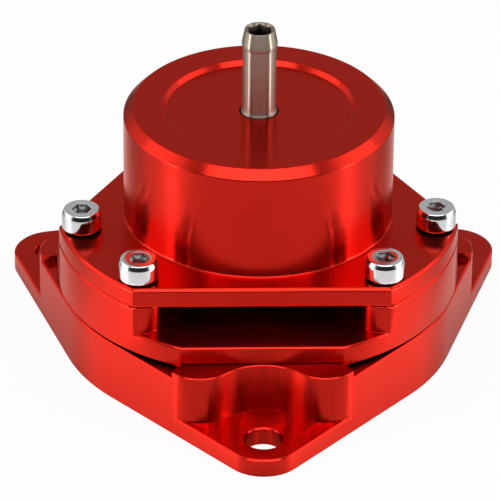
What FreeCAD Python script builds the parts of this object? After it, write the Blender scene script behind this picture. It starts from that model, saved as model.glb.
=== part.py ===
import FreeCAD, Part
import math
import os
import Sketcher

# Blow off valve: a round cap on a three windowed body, seated on a three eared base.
# The axis is Z, the base stands on Z = 0, and one ear points to -Y.
# Lengths are in millimetres and angles in degrees.

SIZES = [
    ("bore_radius", 19.5, "radius of the bore in which the piston slides"),
    ("cap_wall", 4.2, "wall of the cap's round housing"),
    ("flange_width", 11.8, "from the housing to the flange's round edge"),
    ("post_edge", 4.1, "from a cap screw's middle to the flat beside it"),
    ("boss_swell", 0.2, "round side of a post past its flat"),
    ("window_inset", 1.8, "inner corner of a window inside the bore"),
    ("window_angle", 40.16, "angle of that corner from the window's middle"),
    ("plate_flat_depth", 2.9, "depth of the flats on the lower plate"),
    ("base_step", 0.25, "base inside the body's round edge"),
    ("ear_reach", 7.0, "ear hole outside the round part of the base"),
    ("ear_radius", 7.0, "rounded end of an ear"),
    ("ear_thickness", 3.3, "plate of an ear"),
    ("ear_hole_radius", 3.2, "clearance for an M6 screw"),
    ("ear_pocket_radius", 9.1, "spot face round an ear hole"),
    ("lobe_radius", 6.4, "rounded shoulder beside the spot face"),
    ("rim_height", 11.0, "seat of the body on the base"),
    ("pad_rise", 1.3, "pads that keep the body from turning"),
    ("pad_half_width", 14.2, "half width of a pad at the body"),
    ("pad_corner", 1.6, "rounded corner of a pad"),
    ("pad_run", 6.0, "length of a pad's slanted side"),
    ("seat_clearance", 0.15, "between a pad and the body"),
    ("base_chamfer", 0.3, "edges of the base"),
    ("hole_chamfer", 0.25, "edge of an ear hole"),
    ("pad_chamfer", 0.2, "front edge of a pad"),
    ("inlet_inset", 4.5, "inlet of the base inside the bore"),
    ("throat_step", 0.5, "throat of the plate inside the inlet"),
    ("body_height", 9.6, "from the seat to the cap flange"),
    ("plate_thickness", 4.5, "lower plate of the body"),
    ("body_chamfer", 0.3, "top edges of the body"),
    ("foot_chamfer", 0.45, "bottom edge of the body"),
    ("flange_thickness", 3.7, "flange of the cap"),
    ("flange_chamfer", 0.5, "top edge of the flange"),
    ("flange_relief", 0.3, "bottom edge of the flange"),
    ("cap_height", 20.7, "from the flange to the top"),
    ("cap_chamfer", 1.6, "top edge of the cap"),
    ("cap_fillet", 0.5, "foot of the housing on the flange"),
    ("roof_thickness", 4.0, "top wall of the cap"),
    ("dish_inset", 6.75, "dish inside the housing's round side"),
    ("dish_depth", 0.9, "depth of the dish"),
    ("dish_bevel", 0.65, "width of the dish's slanted wall"),
    ("bore_lead", 0.4, "relief of the body's bore beside the cap's"),
    ("cap_screw_inset", 3.75, "cap screw inside the flange's round edge"),
    ("cap_screw_spread", 18.0, "angle of a cap screw from its post"),
    ("cap_screw_radius", 2.0, "M4 thread"),
    ("cap_screw_floor", 1.3, "left under a cap screw's end"),
    ("cap_screw_head", 3.5, "head radius"),
    ("cap_screw_rise", 4.0, "head height"),
    ("cap_screw_edge", 0.4, "rounded top edge of the head"),
    ("cap_screw_socket", 3.0, "hexagon across flats"),
    ("cap_screw_socket_depth", 2.2, "depth of the hexagon"),
    ("cap_screw_clearance", 0.25, "round the shank in the flange"),
    ("body_screw_inset", 8.0, "body screw inside the body's round edge"),
    ("body_screw_radius", 2.5, "M5 thread"),
    ("body_screw_grip", 5.2, "thread of a body screw in the body"),
    ("body_screw_head", 4.6, "countersunk head radius"),
    ("body_screw_sink", 0.2, "head below the base's face"),
    ("body_screw_edge", 0.4, "chamfered end of the thread"),
    ("body_screw_socket", 3.0, "hexagon across flats"),
    ("body_screw_socket_depth", 1.8, "depth of the hexagon"),
    ("body_screw_clearance", 0.25, "round the shank in the base"),
    ("thread_clearance", 0.02, "round a screw in its thread"),
    ("thread_relief", 0.6, "hole past the end of a screw"),
    ("seal_wall", 2.4, "from the inlet to the grooves of the face seals"),
    ("seal_section", 0.9, "radius of a seal's section"),
    ("seal_groove_width", 2.4, "groove of a seal"),
    ("seal_gap", 0.04, "round a seal in its groove"),
    ("piston_clearance", 0.08, "piston in its bore"),
    ("piston_floor", 3.0, "bottom wall of the piston"),
    ("piston_wall", 3.6, "skirt of the piston"),
    ("piston_lift", 7.0, "travel up to the roof"),
    ("piston_stop_gap", 0.1, "piston's rim to the roof at full lift"),
    ("piston_edge", 0.4, "edges of the piston"),
    ("nose_gap", 2.0, "piston's nose inside the throat"),
    ("nose_height", 1.6, "height of the piston's nose"),
    ("nose_slant", 1.2, "width of the nose's slanted side"),
    ("piston_seal_drop", 3.4, "seal below the piston's rim"),
    ("guide_drop", 7.6, "guide band below the piston's rim"),
    ("guide_height", 3.0, "height of the guide band"),
    ("guide_thickness", 1.2, "thickness of the guide band"),
    ("ring_clearance", 0.04, "seal and guide band in the bore"),
    ("seat_land", 1.75, "from the throat to the groove of the piston's face seal"),
    ("seat_seal_section", 0.7, "radius of its section"),
    ("seat_seal_groove", 1.9, "width of its groove"),
    ("seat_seal_gap", 0.1, "face seal above the seat when shut"),
    ("spring_radius", 11.4, "middle of the spring's wire"),
    ("spring_wire", 1.8, "wire of the spring"),
    ("spring_boss_gap", 0.6, "bosses inside the spring's wire"),
    ("spring_boss_rise", 1.8, "height of the bosses"),
    ("spring_gap", 0.05, "spring at its two seats"),
    ("nipple_shank_radius", 2.92, "plain part of the nipple"),
    ("nipple_foot_step", 0.26, "foot of the nipple outside its shank"),
    ("nipple_foot_height", 0.5, "foot above the dish"),
    ("nipple_recess_gap", 0.22, "round the nipple's foot in the dish"),
    ("nipple_recess_depth", 1.5, "depth of the recess below the dish"),
    ("nipple_barb_step", 0.22, "barb outside the shank"),
    ("nipple_mouth_step", 0.5, "top rim inside the barb"),
    ("nipple_height", 16.1, "nipple above the dish"),
    ("nipple_barb_height", 2.6, "slanted lead of the barb"),
    ("nipple_barb_back", 1.3, "slanted back of the barb"),
    ("nipple_thread_radius", 2.5, "thread in the cap"),
    ("nipple_bore_radius", 1.4, "air way through the nipple"),
    ("nipple_socket", 3.9, "hexagon across flats in the mouth"),
    ("nipple_socket_depth", 6.0, "depth of the hexagon"),
    ("nipple_seal_height", 0.9, "room for the seal under the nipple's foot"),
]

# Sizes that follow from the others
FOLLOWING = [
    ("cap_radius", "bore_radius + cap_wall", "round housing of the cap"),
    ("body_radius", "cap_radius + flange_width", "round edge of body and flange"),
    ("base_radius", "body_radius - base_step", "round part of the base"),
    ("ear_circle", "base_radius + ear_reach", "circle of the three ear holes"),
    ("cap_screw_circle", "body_radius - cap_screw_inset", "circle of the six cap screws"),
    ("cap_screw_row", "cap_screw_circle * cos(60 - cap_screw_spread)", "screws by a window, from the axis"),
    ("window_flat", "cap_screw_row + post_edge", "flat of the posts and flange, from the axis"),
    ("boss_radius", "post_edge + boss_swell", "round side of a post at its screw"),
    ("window_half_width", "(bore_radius - window_inset) * sin(window_angle)", "inner corner across"),
    ("window_reach", "(bore_radius - window_inset) * cos(window_angle)", "inner corner from the axis"),
    ("plate_flat", "body_radius - plate_flat_depth", "flat of the lower plate, from the axis"),
    ("body_screw_circle", "body_radius - body_screw_inset", "circle of the three body screws"),
    ("inlet_radius", "bore_radius - inlet_inset", "inlet through the base"),
    ("throat_radius", "inlet_radius - throat_step", "inlet through the body's plate"),
    ("nose_radius", "throat_radius - nose_gap", "nose of the piston"),
    ("dish_radius", "cap_radius - dish_inset", "dish in the top"),
    ("cap_screw_length", "body_height + flange_thickness - cap_screw_floor", "shank under the head"),
    ("body_screw_length", "rim_height - body_screw_sink + body_screw_grip", "whole length"),
    ("seal_circle", "inlet_radius + seal_wall + seal_groove_width / 2", "circle of the two face seals"),
    ("seat_seal_circle", "throat_radius + seat_land + seat_seal_groove / 2", "circle of the face seal"),
    ("spring_boss_radius", "spring_radius - spring_wire / 2 - spring_boss_gap", "bosses inside the spring"),
    ("nipple_foot_radius", "nipple_shank_radius + nipple_foot_step", "foot of the nipple"),
    ("nipple_recess_radius", "nipple_foot_radius + nipple_recess_gap", "recess round the foot"),
    ("nipple_barb_radius", "nipple_shank_radius + nipple_barb_step", "widest part of the barb"),
    ("nipple_mouth_radius", "nipple_barb_radius - nipple_mouth_step", "top rim of the nipple"),
]

EARS = 3
SCREWS_PER_POST = 2
RING_SIDES = 8
SPRING_TURNS = 6
STEPS_PER_TURN = 12

doc = FreeCAD.newDocument("blow_off_valve")
sheet = doc.addObject("Spreadsheet::Sheet", "sizes")
rows = [(alias, str(number), meaning) for alias, number, meaning in SIZES]
rows += [(alias, "=" + formula, meaning) for alias, formula, meaning in FOLLOWING]
for row, (alias, content, meaning) in enumerate(rows, start=1):
    sheet.set(f"A{row}", alias)
    sheet.set(f"B{row}", content)
    sheet.set(f"C{row}", meaning)
    sheet.setAlias(f"B{row}", alias)
doc.recompute()
size = {alias: float(sheet.get(alias)) for alias, _, _ in rows}

# Heights, from the base's underside up
SEAT = "sizes.rim_height"
PAD_TOP = "(sizes.rim_height + sizes.pad_rise)"
WINDOW_FLOOR = "(sizes.rim_height + sizes.plate_thickness)"
JOINT = "(sizes.rim_height + sizes.body_height)"
FLANGE_TOP = f"({JOINT} + sizes.flange_thickness)"
CAP_TOP = f"({FLANGE_TOP} + sizes.cap_height)"
DISH_FLOOR = f"({CAP_TOP} - sizes.dish_depth)"
ROOF = f"({CAP_TOP} - sizes.roof_thickness)"
PISTON_FLOOR = f"({WINDOW_FLOOR} + sizes.piston_floor)"
PISTON_RIM = f"({ROOF} - sizes.piston_lift - sizes.piston_stop_gap)"
FAR = "(2 * sizes.body_radius)"
RIM_LEVEL = size["rim_height"]
PAD_LEVEL = RIM_LEVEL + size["pad_rise"]
FLOOR_LEVEL = RIM_LEVEL + size["plate_thickness"]
JOINT_LEVEL = RIM_LEVEL + size["body_height"]
FLANGE_LEVEL = JOINT_LEVEL + size["flange_thickness"]

parts = []


def new_body(label):
    """Start the solid of one piece and add it to the list of pieces."""
    body = doc.addObject("PartDesign::Body", label)
    body.Label = label
    parts.append(body)
    return body


def origin_plane(body, role):
    """Return the body's own origin plane with this role."""
    return next(item for item in body.Origin.OriginFeatures if item.Role == role)


def new_sketch(body, name, plane="XY_Plane", height=None):
    """Attach an empty sketch to an origin plane, lifted along its normal."""
    sketch = body.newObject("Sketcher::SketchObject", name)
    sketch.AttachmentSupport = [(origin_plane(body, plane), "")]
    sketch.MapMode = "FlatFace"
    if height is not None:
        sketch.setExpression("AttachmentOffset.Base.z", height)
    return sketch


def bind(sketch, constraint, name, expression):
    """Add a named dimension and tie it to the sheet."""
    index = sketch.addConstraint(constraint)
    sketch.renameConstraint(index, name)
    sketch.setExpression(f"Constraints.{name}", expression)


def place_point(sketch, geometry, position, name, across, along):
    """Tie a point's two coordinates to the sheet."""
    point = sketch.getPoint(geometry, position)
    ways = (("DistanceX", point.x, "_x", across), ("DistanceY", point.y, "_y", along))
    for kind, now, end, expression in ways:
        bind(sketch, Sketcher.Constraint(kind, -1, 1, geometry, position, now), name + end, expression)


def polygon(sketch, corners):
    """Draw a closed outline of straight lines whose corners are expressions."""
    count = len(corners)
    first = sketch.GeometryCount
    turns = [2 * math.pi * i / count for i in range(count)]
    ring = [vector(math.cos(turn), math.sin(turn)) * size["bore_radius"] for turn in turns]
    for i in range(count):
        sketch.addGeometry(Part.LineSegment(ring[i], ring[(i + 1) % count]))
    for i in range(count):
        sketch.addConstraint(Sketcher.Constraint("Coincident", first + i, 2, first + (i + 1) % count, 1))
    for i, (across, along) in enumerate(corners):
        place_point(sketch, first + i, 1, f"corner{first + i}", across, along)


def circle(sketch, across, along, radius, guess):
    """Draw a circle whose middle and radius are expressions."""
    index = sketch.addGeometry(Part.Circle(FreeCAD.Vector(*guess, 0), FreeCAD.Vector(0, 0, 1), 1.0))
    if across == "0" and along == "0":
        sketch.addConstraint(Sketcher.Constraint("Coincident", index, 3, -1, 1))
    else:
        place_point(sketch, index, 3, f"middle{index}", across, along)
    bind(sketch, Sketcher.Constraint("Radius", index, 1.0), f"radius{index}", radius)


def hexagon(sketch, flats):
    """Draw a hexagon about the origin, given across its flats."""
    polygon(sketch, [(f"{flats} / sqrt(3) * cos({60 * i})", f"{flats} / sqrt(3) * sin({60 * i})")
                     for i in range(6)])


def pad(body, sketch, name, length):
    """Raise a sketch along its normal."""
    feature = body.newObject("PartDesign::Pad", name)
    feature.Profile = sketch
    feature.setExpression("Length", length)
    doc.recompute()
    return feature


def pocket(body, sketch, name, length, upward=False):
    """Cut a sketch into the body, and check that it takes material away."""
    before = body.Shape.Volume
    feature = body.newObject("PartDesign::Pocket", name)
    feature.Profile = sketch
    feature.Reversed = upward
    feature.setExpression("Length", length)
    doc.recompute()
    if not feature.Shape.Volume < before:
        raise ValueError(f"{name} cuts nothing")
    return feature


def pattern(body, feature, name):
    """Repeat a feature evenly about the axis."""
    around = body.newObject("PartDesign::PolarPattern", name)
    around.Originals = [feature]
    around.Axis = (next(a for a in body.Origin.OriginFeatures if a.Role == "Z_Axis"), [""])
    around.Angle = 360
    around.Occurrences = EARS
    body.Tip = around
    doc.recompute()
    return around


def revolve(body, name, corners):
    """Turn an outline of (radius, height) corners about the axis."""
    sketch = new_sketch(body, name + "_profile", "XZ_Plane")
    polygon(sketch, corners)
    feature = body.newObject("PartDesign::Revolution", name)
    feature.Profile = sketch
    feature.ReferenceAxis = (sketch, ["V_Axis"])
    feature.Angle = 360
    doc.recompute()
    return feature


def groove(body, name, corners):
    """Cut an outline of (radius, height) corners, turned about the axis."""
    before = body.Shape.Volume
    sketch = new_sketch(body, name + "_profile", "XZ_Plane")
    polygon(sketch, corners)
    feature = body.newObject("PartDesign::Groove", name)
    feature.Profile = sketch
    feature.ReferenceAxis = (sketch, ["V_Axis"])
    feature.Angle = 360
    doc.recompute()
    if not feature.Shape.Volume < before:
        raise ValueError(f"{name} cuts nothing")
    return feature


def edge_names(shape, wanted):
    """Name the edges for which wanted(edge) holds."""
    return [f"Edge{i}" for i, edge in enumerate(shape.Edges, start=1) if wanted(edge)]


def dress(body, kind, name, wanted, amount):
    """Chamfer or fillet the wanted edges of the body."""
    base = body.Tip
    names = edge_names(base.Shape, wanted)
    if not names:
        raise ValueError(f"{name} finds no edge")
    feature = body.newObject("PartDesign::" + kind, name)
    feature.Base = (base, names)
    feature.setExpression("Radius" if kind == "Fillet" else "Size", amount)
    doc.recompute()
    if "Invalid" in feature.State:
        raise ValueError(f"{name} fails on {names}")
    return feature


def level(edge, height):
    """Tell whether an edge lies at this height."""
    box = edge.BoundBox
    return abs(box.ZMin - height) < 1e-4 and abs(box.ZMax - height) < 1e-4


def upright(edge):
    """Tell whether an edge is straight and vertical."""
    box = edge.BoundBox
    return box.ZLength > 1e-3 and box.XLength < 1e-4 and box.YLength < 1e-4


def radius_range(edge):
    """Return the least and greatest distance of an edge from the axis."""
    distances = [math.hypot(p.x, p.y) for p in edge.discretize(9)]
    return min(distances), max(distances)


def vector(across, along):
    """Return a point or direction in a sketch."""
    return FreeCAD.Vector(across, along, 0)


def flank_side():
    """Return the right flank's normal, direction and its two tangent points."""
    turn = math.acos((size["base_radius"] - size["ear_radius"]) / size["ear_circle"])
    normal = vector(math.sin(turn), -math.cos(turn))
    hole = vector(0, -size["ear_circle"])
    start = normal * size["base_radius"]
    end = hole + normal * size["ear_radius"]
    return normal, hole, start, end


def mirrored(point):
    """Return the point on the other side of the sketch's vertical axis."""
    return vector(-point.x, point.y)


def arc_between(sketch, centre, start, end):
    """Draw the arc that runs counter-clockwise from start to end."""
    first = math.atan2(start.y - centre.y, start.x - centre.x)
    last = math.atan2(end.y - centre.y, end.x - centre.x)
    if last < first:
        last += 2 * math.pi
    round_edge = Part.Circle(centre, FreeCAD.Vector(0, 0, 1), (start - centre).Length)
    return sketch.addGeometry(Part.ArcOfCircle(round_edge, first, last))


def join(sketch, kind, one, one_end, other, other_end):
    """Make two ends coincident or tangent."""
    sketch.addConstraint(Sketcher.Constraint(kind, one, one_end, other, other_end))


def radial_frame(sketch, start, end_right):
    """Draw the two radii and the two flanks that an ear's outlines share."""
    centre = vector(0, 0)
    right_radius = sketch.addGeometry(Part.LineSegment(centre, start))
    right_flank = sketch.addGeometry(Part.LineSegment(start, end_right))
    left_flank = sketch.addGeometry(Part.LineSegment(mirrored(end_right), mirrored(start)))
    left_radius = sketch.addGeometry(Part.LineSegment(mirrored(start), centre))
    join(sketch, "Coincident", right_radius, 1, -1, 1)
    join(sketch, "Coincident", left_radius, 2, -1, 1)
    join(sketch, "Coincident", right_radius, 2, right_flank, 1)
    join(sketch, "Coincident", left_flank, 2, left_radius, 1)
    sketch.addConstraint(Sketcher.Constraint("Perpendicular", right_radius, right_flank))
    sketch.addConstraint(Sketcher.Constraint("Perpendicular", left_radius, left_flank))
    for name, line in (("right_reach", right_radius), ("left_reach", left_radius)):
        bind(sketch, Sketcher.Constraint("Distance", line, start.Length), name, "sizes.base_radius")
    return right_flank, left_flank


def ear_outline(sketch):
    """Draw an ear: two flanks tangent to the base and to the ear's round end."""
    _, hole, start, end = flank_side()
    right, left = radial_frame(sketch, start, end)
    tip = arc_between(sketch, hole, mirrored(end), end)
    join(sketch, "Tangent", right, 2, tip, 2)
    join(sketch, "Tangent", left, 1, tip, 1)
    place_point(sketch, tip, 3, "ear", "0", "-sizes.ear_circle")
    bind(sketch, Sketcher.Constraint("Radius", tip, size["ear_radius"]), "tip", "sizes.ear_radius")


def shoulder_outline(sketch):
    """Draw the tall part behind an ear: flanks and two round lobes tangent to the spot face."""
    normal, hole, start, end = flank_side()
    lobe = size["lobe_radius"]
    spot = size["ear_pocket_radius"]
    inward = (start - end).normalize()
    offset = size["ear_radius"] - lobe
    middle = hole + normal * offset + inward * math.sqrt((spot + lobe) ** 2 - offset ** 2)
    leave = middle + normal * lobe
    meet = hole + (middle - hole) * (spot / (spot + lobe))
    right, left = radial_frame(sketch, start, leave)
    right_lobe = arc_between(sketch, middle, meet, leave)
    left_lobe = arc_between(sketch, mirrored(middle), mirrored(leave), mirrored(meet))
    front = sketch.addGeometry(Part.LineSegment(mirrored(meet), meet))
    spot_circle = sketch.addGeometry(Part.Circle(hole, FreeCAD.Vector(0, 0, 1), spot), True)
    join(sketch, "Tangent", right, 2, right_lobe, 2)
    join(sketch, "Tangent", left, 1, left_lobe, 1)
    join(sketch, "Coincident", front, 2, right_lobe, 1)
    join(sketch, "Coincident", front, 1, left_lobe, 2)
    place_point(sketch, spot_circle, 3, "ear", "0", "-sizes.ear_circle")
    bind(sketch, Sketcher.Constraint("Radius", spot_circle, spot), "spot", "sizes.ear_pocket_radius")
    sketch.addConstraint(Sketcher.Constraint("Tangent", right_lobe, 1, spot_circle))
    sketch.addConstraint(Sketcher.Constraint("Tangent", left_lobe, 2, spot_circle))
    for name, arc in (("right_lobe", right_lobe), ("left_lobe", left_lobe)):
        bind(sketch, Sketcher.Constraint("Radius", arc, lobe), name, "sizes.lobe_radius")
    tip = sketch.addGeometry(Part.Circle(hole, FreeCAD.Vector(0, 0, 1), size["ear_radius"]), True)
    join(sketch, "Coincident", tip, 3, spot_circle, 3)
    bind(sketch, Sketcher.Constraint("Radius", tip, size["ear_radius"]), "tip", "sizes.ear_radius")
    sketch.addConstraint(Sketcher.Constraint("Tangent", right, tip))
    sketch.addConstraint(Sketcher.Constraint("Tangent", left, tip))


def flat_outline(sketch, flat):
    """Draw the area outside a flat on the -Y side."""
    polygon(sketch, [("-" + FAR, "-" + FAR), (FAR, "-" + FAR), (FAR, "-" + flat), ("-" + FAR, "-" + flat)])


def face_groove(body, name, ring, width, opening, depth_end):
    """Cut a ring groove about the axis between two heights."""
    half = f"{width} / 2"
    return groove(body, name, [
        (f"{ring} - {half}", opening), (f"{ring} + {half}", opening),
        (f"{ring} + {half}", depth_end), (f"{ring} - {half}", depth_end)])


def make_base():
    """Base: round plate with three thin ears, tall shoulders and pads that key the body."""
    body = new_body("base_flange")
    ear = new_sketch(body, "ear")
    ear_outline(ear)
    pattern(body, pad(body, ear, "ear_pad", "sizes.ear_thickness"), "ears")

    def ear_rim(edge):
        return level(edge, size["ear_thickness"]) and radius_range(edge)[0] > size["base_radius"] - 1e-3

    dress(body, "Chamfer", "ear_edges", ear_rim, "sizes.base_chamfer")
    disc = new_sketch(body, "disc")
    circle(disc, "0", "0", "sizes.base_radius", (0, 0))
    pad(body, disc, "disc_pad", SEAT)
    shoulder = new_sketch(body, "shoulder")
    shoulder_outline(shoulder)
    pattern(body, pad(body, shoulder, "shoulder_pad", PAD_TOP), "shoulders")
    seat = new_sketch(body, "seat", height=PAD_TOP)
    back = "-(sizes.plate_flat + sizes.seat_clearance)"
    side = "sizes.pad_half_width"
    out_x = "(sizes.pad_half_width + sizes.pad_run / 2)"
    out_y = "-(sizes.plate_flat + sizes.seat_clearance + sizes.pad_run * sin(60))"
    wide = "sizes.base_radius"
    polygon(seat, [("-" + wide, "0"), ("-" + wide, out_y), ("-" + out_x, out_y), ("-" + side, back),
                   (side, back), (out_x, out_y), (wide, out_y), (wide, "0")])
    pattern(body, pocket(body, seat, "seat_cut", "sizes.pad_rise"), "seats")
    half = size["pad_half_width"]

    def pad_corner(edge):
        near = math.hypot(half, size["plate_flat"] + size["seat_clearance"])
        return (upright(edge) and edge.BoundBox.ZMin > RIM_LEVEL - 1e-3
                and abs(radius_range(edge)[0] - near) < 1e-3)

    dress(body, "Fillet", "pad_corners", pad_corner, "sizes.pad_corner")
    spot = new_sketch(body, "spot_face", height="sizes.ear_thickness")
    circle(spot, "0", "-sizes.ear_circle", "sizes.ear_pocket_radius", (0, -size["ear_circle"]))
    pattern(body, pocket(body, spot, "spot_face_cut", PAD_TOP, upward=True), "spot_faces")
    hole = new_sketch(body, "ear_hole")
    circle(hole, "0", "-sizes.ear_circle", "sizes.ear_hole_radius", (0, -size["ear_circle"]))
    pattern(body, pocket(body, hole, "ear_hole_cut", "sizes.ear_thickness", upward=True), "ear_holes")
    inlet = new_sketch(body, "inlet")
    circle(inlet, "0", "0", "sizes.inlet_radius", (0, 0))
    pocket(body, inlet, "inlet_cut", SEAT, upward=True)
    face_groove(body, "base_seal_groove", "sizes.seal_circle", "sizes.seal_groove_width",
                "0", "(2 * sizes.seal_section + sizes.seal_gap)")
    face_groove(body, "body_seal_groove", "sizes.seal_circle", "sizes.seal_groove_width",
                f"({SEAT} - 2 * sizes.seal_section - sizes.seal_gap)", SEAT)
    screw = new_sketch(body, "body_screw_hole")
    shaft = "(sizes.body_screw_radius + sizes.body_screw_clearance)"
    circle(screw, "0", "sizes.body_screw_circle", shaft, (0, size["body_screw_circle"]))
    pattern(body, pocket(body, screw, "body_screw_cut", SEAT, upward=True), "body_screw_holes")
    sink = body.newObject("PartDesign::SubtractiveCone", "sink")
    mouth = "(sizes.body_screw_head + sizes.body_screw_sink)"
    sink.setExpression("Radius1", mouth)
    sink.setExpression("Radius2", shaft)
    sink.setExpression("Height", f"{mouth} - {shaft}")
    sink.AttachmentSupport = [(origin_plane(body, "XY_Plane"), "")]
    sink.MapMode = "FlatFace"
    sink.setExpression("AttachmentOffset.Base.y", "sizes.body_screw_circle")
    doc.recompute()
    pattern(body, sink, "sinks")
    hole_edge = size["ear_hole_radius"]

    def hole_rim(edge):
        return (level(edge, size["ear_thickness"]) and edge.Closed
                and abs(edge.Curve.Radius - hole_edge) < 1e-4)

    dress(body, "Chamfer", "hole_edges", hole_rim, "sizes.hole_chamfer")

    def pad_rim(edge):
        round_sizes = (size["ear_pocket_radius"], size["lobe_radius"])
        return (level(edge, PAD_LEVEL) and edge.Curve.TypeId == "Part::GeomCircle"
                and min(abs(edge.Curve.Radius - r) for r in round_sizes) < 1e-3)

    dress(body, "Chamfer", "pad_edges", pad_rim, "sizes.pad_chamfer")

    def outer_rim(edge):
        if not level(edge, RIM_LEVEL):
            return False
        if edge.Curve.TypeId == "Part::GeomLine":
            return abs(radius_range(edge)[0] - size["base_radius"]) < 1e-3
        return abs(edge.Curve.Radius - size["base_radius"]) < 1e-3

    dress(body, "Chamfer", "rim_edges", outer_rim, "sizes.base_chamfer")

    return body


def make_body():
    """Valve body: lower plate, three posts with windows between them, and the bores."""
    body = new_body("valve_body")
    disc = new_sketch(body, "disc", height=SEAT)
    circle(disc, "0", "0", "sizes.body_radius", (0, 0))
    pad(body, disc, "disc_pad", "sizes.body_height")
    low = new_sketch(body, "plate_flat", height=SEAT)
    flat_outline(low, "sizes.plate_flat")
    pattern(body, pocket(body, low, "plate_flat_cut", "sizes.body_height", upward=True), "plate_flats")
    window = new_sketch(body, "window", height=WINDOW_FLOOR)
    window_outline(window)
    height = "(sizes.body_height - sizes.plate_thickness)"
    pattern(body, pocket(body, window, "window_cut", height, upward=True), "windows")
    bore = new_sketch(body, "bore", height=WINDOW_FLOOR)
    circle(bore, "0", "0", "(sizes.bore_radius + sizes.bore_lead)", (0, 0))
    pocket(body, bore, "bore_cut", height, upward=True)
    throat = new_sketch(body, "throat", height=SEAT)
    circle(throat, "0", "0", "sizes.throat_radius", (0, 0))
    pocket(body, throat, "throat_cut", "sizes.plate_thickness", upward=True)
    holes = new_sketch(body, "cap_screw_holes", height=JOINT)
    screw_hole_pair(holes, "(sizes.cap_screw_radius + sizes.thread_clearance)")
    depth = "(sizes.cap_screw_length - sizes.flange_thickness + sizes.thread_relief)"
    pattern(body, pocket(body, holes, "cap_screw_cut", depth), "cap_screw_threads")
    lower = new_sketch(body, "body_screw_hole", height=SEAT)
    circle(lower, "0", "sizes.body_screw_circle", "(sizes.body_screw_radius + sizes.thread_clearance)",
           (0, size["body_screw_circle"]))
    depth = "(sizes.body_screw_length + sizes.body_screw_sink - sizes.rim_height + sizes.thread_relief)"
    pattern(body, pocket(body, lower, "body_screw_cut", depth, upward=True), "body_screw_threads")

    def outer(edge):
        return radius_range(edge)[0] > size["bore_radius"] + size["bore_lead"] + 1e-3

    def top_edge(edge):
        return level(edge, JOINT_LEVEL) and not edge.Closed and outer(edge)

    dress(body, "Chamfer", "top_edges", top_edge, "sizes.body_chamfer")

    def plate_edge(edge):
        if not level(edge, FLOOR_LEVEL):
            return False
        lowest, highest = radius_range(edge)
        return lowest > size["body_radius"] - 1e-3 or abs(lowest - size["plate_flat"]) < 1e-3

    dress(body, "Chamfer", "plate_edges", plate_edge, "sizes.body_chamfer")

    def foot_edge(edge):
        return level(edge, RIM_LEVEL) and abs(radius_range(edge)[0] - size["body_radius"]) < 1e-3

    dress(body, "Chamfer", "foot_edges", foot_edge, "sizes.foot_chamfer")
    return body


def window_outline(sketch):
    """Draw one window: the posts' flats, their round bosses and the sides running inwards."""
    spread = math.radians(60 - size["cap_screw_spread"])
    screw = vector(size["cap_screw_circle"] * math.sin(spread), -size["cap_screw_circle"] * math.cos(spread))
    radius = size["boss_radius"]
    inner = vector(size["window_half_width"], -size["window_reach"])
    reach = inner - screw
    turn = math.atan2(reach.y, reach.x) + math.acos(radius / reach.Length)
    touch = screw + vector(math.cos(turn), math.sin(turn)) * radius
    drop = size["window_flat"] + screw.y
    meet = vector(screw.x - math.sqrt(radius ** 2 - drop ** 2), -size["window_flat"])
    far = 2 * size["body_radius"]
    outside = vector(far, -size["window_flat"])
    corner = vector(far, -far)
    path = [(outside, meet), (touch, inner), (inner, mirrored(inner)), (mirrored(inner), mirrored(touch)),
            (mirrored(meet), mirrored(outside)), (mirrored(outside), mirrored(corner)),
            (mirrored(corner), corner), (corner, outside)]
    lines = [sketch.addGeometry(Part.LineSegment(*ends)) for ends in path]
    flat, side, back, other_side, other_flat, left, bottom, right = lines
    boss = arc_between(sketch, screw, touch, meet)
    other_boss = arc_between(sketch, mirrored(screw), mirrored(meet), mirrored(touch))
    join(sketch, "Coincident", flat, 2, boss, 2)
    join(sketch, "Tangent", side, 1, boss, 1)
    join(sketch, "Coincident", side, 2, back, 1)
    join(sketch, "Coincident", back, 2, other_side, 1)
    join(sketch, "Tangent", other_side, 2, other_boss, 2)
    join(sketch, "Coincident", other_flat, 1, other_boss, 1)
    for one, other in ((other_flat, left), (left, bottom), (bottom, right), (right, flat)):
        join(sketch, "Coincident", one, 2, other, 1)
    sketch.addConstraint(Sketcher.Constraint("Horizontal", flat))
    sketch.addConstraint(Sketcher.Constraint("Horizontal", other_flat))
    across = "sizes.cap_screw_circle * sin(60 - sizes.cap_screw_spread)"
    along = "-sizes.cap_screw_row"
    for sign, arc, name in (("", boss, "boss"), ("-", other_boss, "other_boss")):
        place_point(sketch, arc, 3, name, sign + across, along)
        bind(sketch, Sketcher.Constraint("Radius", arc, radius), name + "_radius", "sizes.boss_radius")
    place_point(sketch, back, 1, "inner", "sizes.window_half_width", "-sizes.window_reach")
    place_point(sketch, back, 2, "other_inner", "-sizes.window_half_width", "-sizes.window_reach")
    place_point(sketch, flat, 1, "outside", FAR, "-sizes.window_flat")
    place_point(sketch, left, 1, "other_outside", "-" + FAR, "-sizes.window_flat")
    place_point(sketch, bottom, 1, "left_corner", "-" + FAR, "-" + FAR)
    place_point(sketch, bottom, 2, "right_corner", FAR, "-" + FAR)


def screw_hole_pair(sketch, radius):
    """Draw the two screw holes of the post on the +Y side."""
    for side in (-1, 1):
        angle = f"(90 + {side} * sizes.cap_screw_spread)"
        circle(sketch, f"sizes.cap_screw_circle * cos({angle})", f"sizes.cap_screw_circle * sin({angle})",
               radius, (-side * 9, size["cap_screw_circle"]))


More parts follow.
